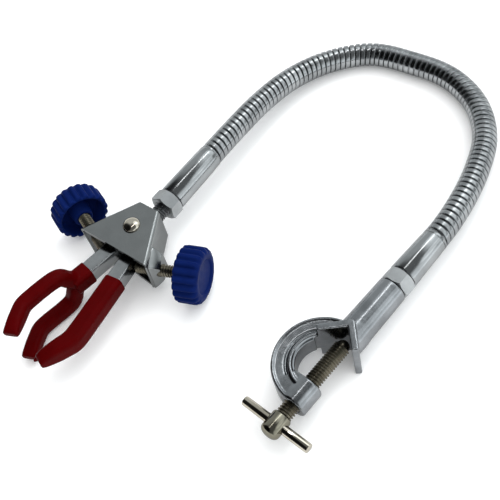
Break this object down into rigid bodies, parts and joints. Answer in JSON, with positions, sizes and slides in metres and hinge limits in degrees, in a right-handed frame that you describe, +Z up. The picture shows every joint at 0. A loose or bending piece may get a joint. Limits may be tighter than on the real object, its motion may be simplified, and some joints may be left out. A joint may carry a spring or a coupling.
{
  "type": "flexible arm three-prong clamp",
  "caption": "Three-prong holding clamp on a bendable gooseneck, with a screw clamp that fixes it to a rod or a bench edge.",
  "frame": {"origin": "centre of the bounding box, on the surface that the clamp lies on", "axes": "+Z up; the prongs point to -X and -Y, the gooseneck arches towards +Y and +X"},
  "size_m": [0.23, 0.2301, 0.0298],
  "materials": {
    "polished_chrome": "bright chrome plate on turned and folded steel",
    "cast_chrome": "chrome plate over a slightly rippled casting",
    "gooseneck_steel": "chromed strip wound with a thin dark seam between turns",
    "nickel_steel": "warm bright nickel plate",
    "black_steel": "dark oiled thread",
    "spring_steel": "plain spring wire",
    "red_vinyl": "glossy dipped vinyl, dark red",
    "blue_plastic": "moulded satin plastic, deep blue"
  },
  "bodies": {
    "clamp_base": {"clamp_frame": "cast_chrome"},
    "clamp_screw_slider": {"clamp_screw": "nickel_steel"},
    "clamp_handle": {"clamp_screw_head": "nickel_steel", "clamp_tee_bar": "nickel_steel"},
    "arm_base": {"rear_ferrule": "polished_chrome", "rear_stud": "black_steel", "gooseneck_link_01": "gooseneck_steel"},
    "rear_nut": {"rear_lock_nut": "polished_chrome"},
    "arm_02": {"gooseneck_link_02": "gooseneck_steel"},
    "arm_03": {"gooseneck_link_03": "gooseneck_steel"},
    "arm_04": {"gooseneck_link_04": "gooseneck_steel"},
    "arm_05": {"gooseneck_link_05": "gooseneck_steel"},
    "arm_06": {"gooseneck_link_06": "gooseneck_steel"},
    "arm_07": {"gooseneck_link_07": "gooseneck_steel"},
    "arm_08": {"gooseneck_link_08": "gooseneck_steel"},
    "arm_09": {"gooseneck_link_09": "gooseneck_steel"},
    "arm_10": {"gooseneck_link_10": "gooseneck_steel"},
    "arm_11": {"gooseneck_link_11": "gooseneck_steel"},
    "arm_end": {"gooseneck_link_12": "gooseneck_steel", "front_ferrule": "polished_chrome"},
    "head": {"housing_shell": "polished_chrome", "housing_base": "polished_chrome", "housing_end_block": "black_steel", "pivot_rivet": "nickel_steel", "arm_spring": "spring_steel", "pivot_spacer": "nickel_steel", "front_stud": "black_steel"},
    "front_nut": {"front_lock_nut": "polished_chrome"},
    "fork": {"fork_arm": "polished_chrome", "fork_vinyl": "red_vinyl"},
    "single": {"single_arm": "polished_chrome", "single_vinyl": "red_vinyl"},
    "fork_screw": {"fork_thumb_screw": "nickel_steel"},
    "fork_knob_turner": {"fork_knob": "blue_plastic"},
    "single_screw": {"single_thumb_screw": "nickel_steel"},
    "single_knob_turner": {"single_knob": "blue_plastic"}
  },
  "joints": [
    {"name": "clamp_screw_travel", "type": "slide", "parent": "clamp_base", "child": "clamp_screw_slider", "axis": [0.6626, 0.749, 0], "range_m": [-0.022, 0]},
    {"name": "clamp_handle_turn", "type": "hinge", "parent": "clamp_screw_slider", "child": "clamp_handle", "pos_m": [0.00428, -0.10202, 0.011], "axis": [0.6626, 0.749, 0], "range_deg": [-6336, 0]},
    {"name": "rear_swivel", "type": "hinge", "parent": "clamp_base", "child": "arm_base", "pos_m": [0.05948, -0.03963, 0.011], "axis": [0.6626, 0.749, 0], "range_deg": [-90, 90]},
    {"name": "rear_nut_turn", "type": "hinge", "parent": "arm_base", "child": "rear_nut", "pos_m": [0.05921, -0.03993, 0.011], "axis": [0.6626, 0.749, 0], "range_deg": [0, 90]},
    {"name": "bend_01", "type": "hinge", "parent": "arm_base", "child": "arm_02", "pos_m": [0.09152, -0.00001, 0.01035], "axis": [0, 0, -1], "range_deg": [-3, 30]},
    {"name": "lift_02", "type": "hinge", "parent": "arm_02", "child": "arm_03", "pos_m": [0.10194, 0.02016, 0.00907], "axis": [0.9141, -0.4055, 0], "range_deg": [-12, 20]},
    {"name": "bend_03", "type": "hinge", "parent": "arm_03", "child": "arm_04", "pos_m": [0.10857, 0.04179, 0.0073], "axis": [0, 0, -1], "range_deg": [-3, 30]},
    {"name": "lift_04", "type": "hinge", "parent": "arm_04", "child": "arm_05", "pos_m": [0.10727, 0.06436, 0.00635], "axis": [0.9718, 0.2358, 0], "range_deg": [-12, 20]},
    {"name": "bend_05", "type": "hinge", "parent": "arm_05", "child": "arm_06", "pos_m": [0.09693, 0.0843, 0.00604], "axis": [0, 0, -1], "range_deg": [-3, 30]},
    {"name": "lift_06", "type": "hinge", "parent": "arm_06", "child": "arm_07", "pos_m": [0.07904, 0.09832, 0.00608], "axis": [0.5866, 0.8099, 0], "range_deg": [-12, 20]},
    {"name": "bend_07", "type": "hinge", "parent": "arm_07", "child": "arm_08", "pos_m": [0.05887, 0.10841, 0.00612], "axis": [0, 0, -1], "range_deg": [-3, 30]},
    {"name": "lift_08", "type": "hinge", "parent": "arm_08", "child": "arm_09", "pos_m": [0.03651, 0.10595, 0.0073], "axis": [-0.3171, 0.9484, 0], "range_deg": [-12, 20]},
    {"name": "bend_09", "type": "hinge", "parent": "arm_09", "child": "arm_10", "pos_m": [0.01678, 0.09507, 0.00956], "axis": [0, 0, -1], "range_deg": [-3, 30]},
    {"name": "lift_10", "type": "hinge", "parent": "arm_10", "child": "arm_11", "pos_m": [0.001, 0.07898, 0.01215], "axis": [-0.7945, 0.6072, 0], "range_deg": [-12, 20]},
    {"name": "bend_11", "type": "hinge", "parent": "arm_11", "child": "arm_end", "pos_m": [-0.01257, 0.06082, 0.01417], "axis": [0, 0, -1], "range_deg": [-3, 30]},
    {"name": "front_swivel", "type": "hinge", "parent": "arm_end", "child": "head", "pos_m": [-0.04606, 0.01577, 0.015], "axis": [0.6018, 0.7986, 0], "range_deg": [-90, 90]},
    {"name": "front_nut_turn", "type": "hinge", "parent": "head", "child": "front_nut", "pos_m": [-0.04678, 0.01481, 0.015], "axis": [0.6018, 0.7986, 0], "range_deg": [-90, 0]},
    {"name": "fork_screw_travel", "type": "slide", "parent": "head", "child": "fork_screw", "axis": [0.5299, -0.848, 0], "range_m": [-0.003, 0.0015]},
    {"name": "fork_knob_turn", "type": "hinge", "parent": "fork_screw", "child": "fork_knob_turner", "pos_m": [-0.09191, 0.01689, 0.015], "axis": [0.5299, -0.848, 0], "range_deg": [-1080, 540]},
    {"name": "fork_arm_swing", "type": "hinge", "parent": "head", "child": "fork", "pos_m": [-0.0605, -0.0034, 0.015], "axis": [0, 0, 1], "range_deg": [-11.1, 5.5]},
    {"name": "single_screw_travel", "type": "slide", "parent": "head", "child": "single_screw", "axis": [-0.9613, 0.2756, 0], "range_m": [-0.003, 0.0015]},
    {"name": "single_knob_turn", "type": "hinge", "parent": "single_screw", "child": "single_knob_turner", "pos_m": [-0.03234, -0.028, 0.015], "axis": [-0.9613, 0.2756, 0], "range_deg": [-1080, 540]},
    {"name": "single_arm_swing", "type": "hinge", "parent": "head", "child": "single", "pos_m": [-0.0605, -0.0034, 0.015], "axis": [0, 0, -1], "range_deg": [-11.1, 5.5]}
  ],
  "couplings": [
    {"joint": "fork_screw_travel", "follows": "fork_arm_swing", "m_per_rad": 0.015083},
    {"joint": "fork_knob_turn", "follows": "fork_arm_swing", "ratio": 94.769},
    {"joint": "single_screw_travel", "follows": "single_arm_swing", "m_per_rad": 0.014881},
    {"joint": "single_knob_turn", "follows": "single_arm_swing", "ratio": 93.5},
    {"joint": "clamp_screw_travel", "follows": "clamp_handle_turn", "m_per_rad": 0.00019894}
  ]
}
